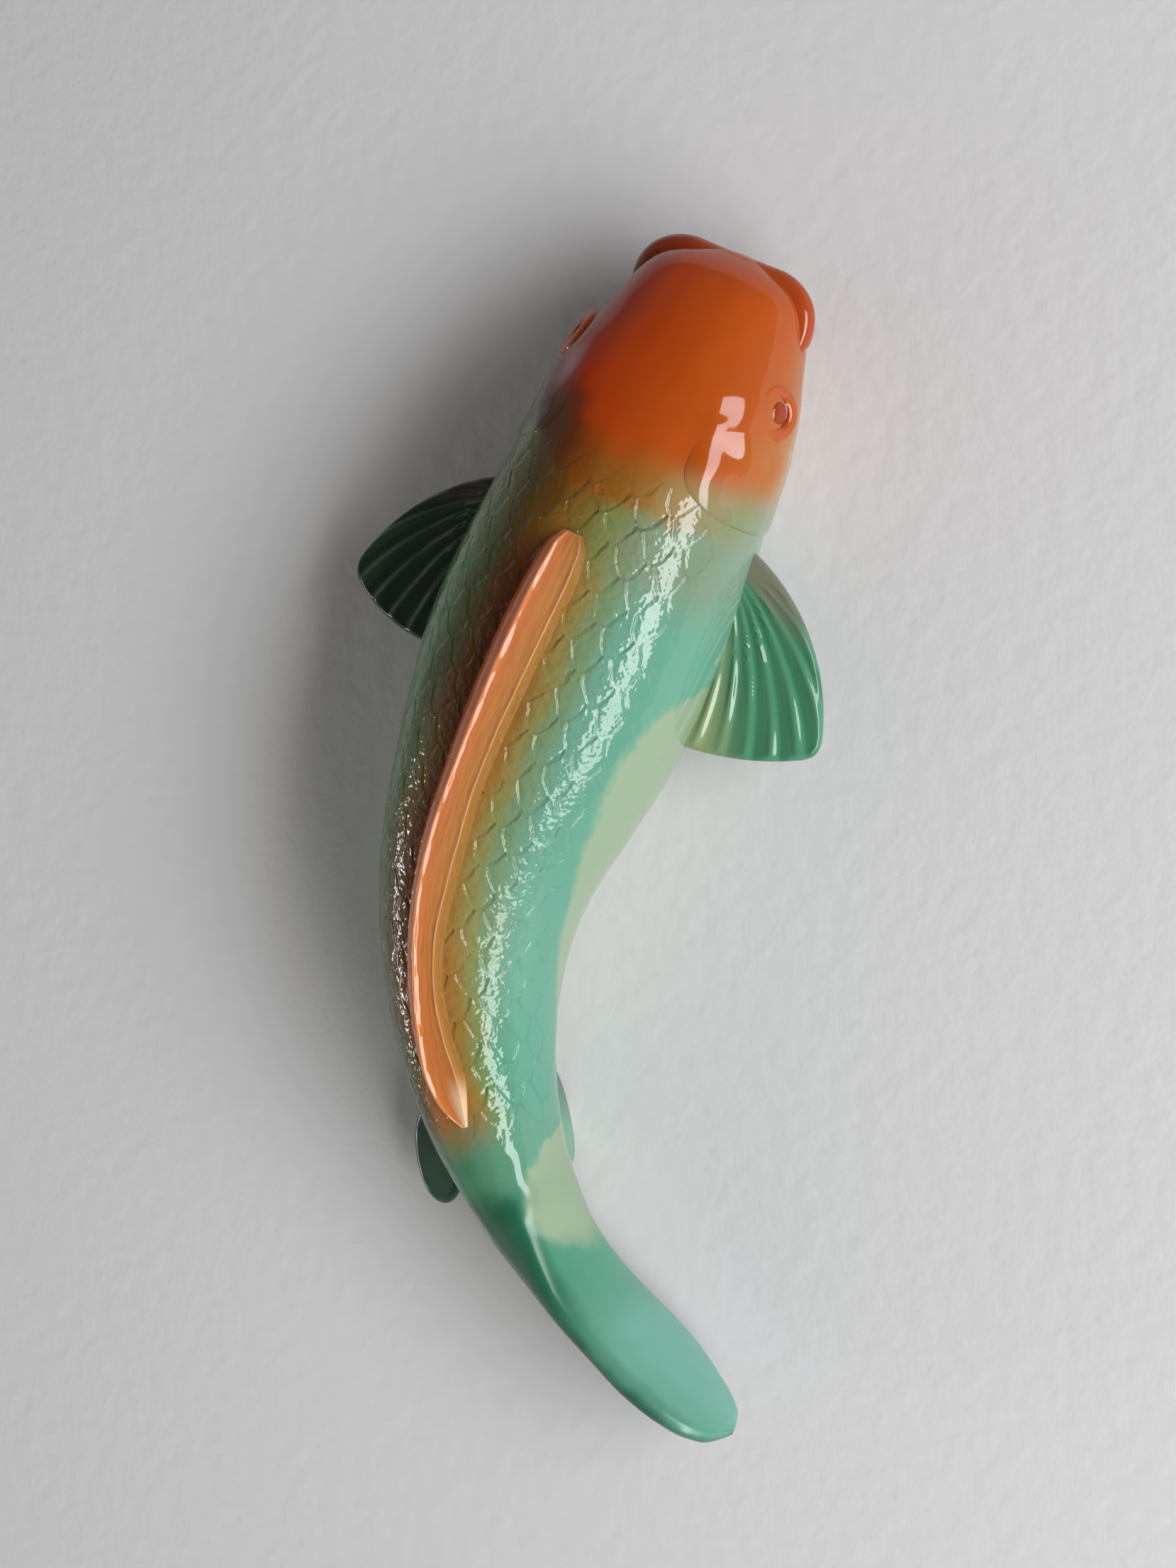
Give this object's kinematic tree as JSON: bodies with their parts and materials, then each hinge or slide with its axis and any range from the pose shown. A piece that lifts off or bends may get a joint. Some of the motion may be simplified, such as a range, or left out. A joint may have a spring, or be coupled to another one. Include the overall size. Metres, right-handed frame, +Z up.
{
  "type": "fish figurine",
  "caption": "Glazed ceramic koi ornament that rests on its belly, body bent to one side, with a low dorsal ridge, spread side fins and a paddle tail.",
  "frame": {"origin": "centre of the bounding box, on the table plane that the belly rests on", "axes": "+Y towards the snout, along the longest extent, +X to the fish's right, +Z up"},
  "size_m": [0.084, 0.1988, 0.0416],
  "materials": {
    "back_glaze": "gloss",
    "belly_glaze": "gloss",
    "tail_glaze": "gloss",
    "dorsal_glaze": "gloss",
    "right_fin_glaze": "gloss",
    "left_fin_glaze": "gloss",
    "eye_glaze": "gloss",
    "gill_glaze": "gloss",
    "lip_glaze": "gloss"
  },
  "bodies": {
    "root": {"back_shell": "back_glaze", "belly_shell": "belly_glaze", "tail_fin": "tail_glaze", "dorsal_fin": "dorsal_glaze", "pectoral_fin_right": "right_fin_glaze", "pectoral_fin_left": "left_fin_glaze", "pelvic_fin_right": "right_fin_glaze", "pelvic_fin_left": "left_fin_glaze", "eye_right": "eye_glaze", "eye_left": "eye_glaze", "gill_cover_right": "gill_glaze", "gill_cover_left": "gill_glaze", "upper_lip": "lip_glaze", "lower_lip": "lip_glaze"}
  },
  "joints": []
}
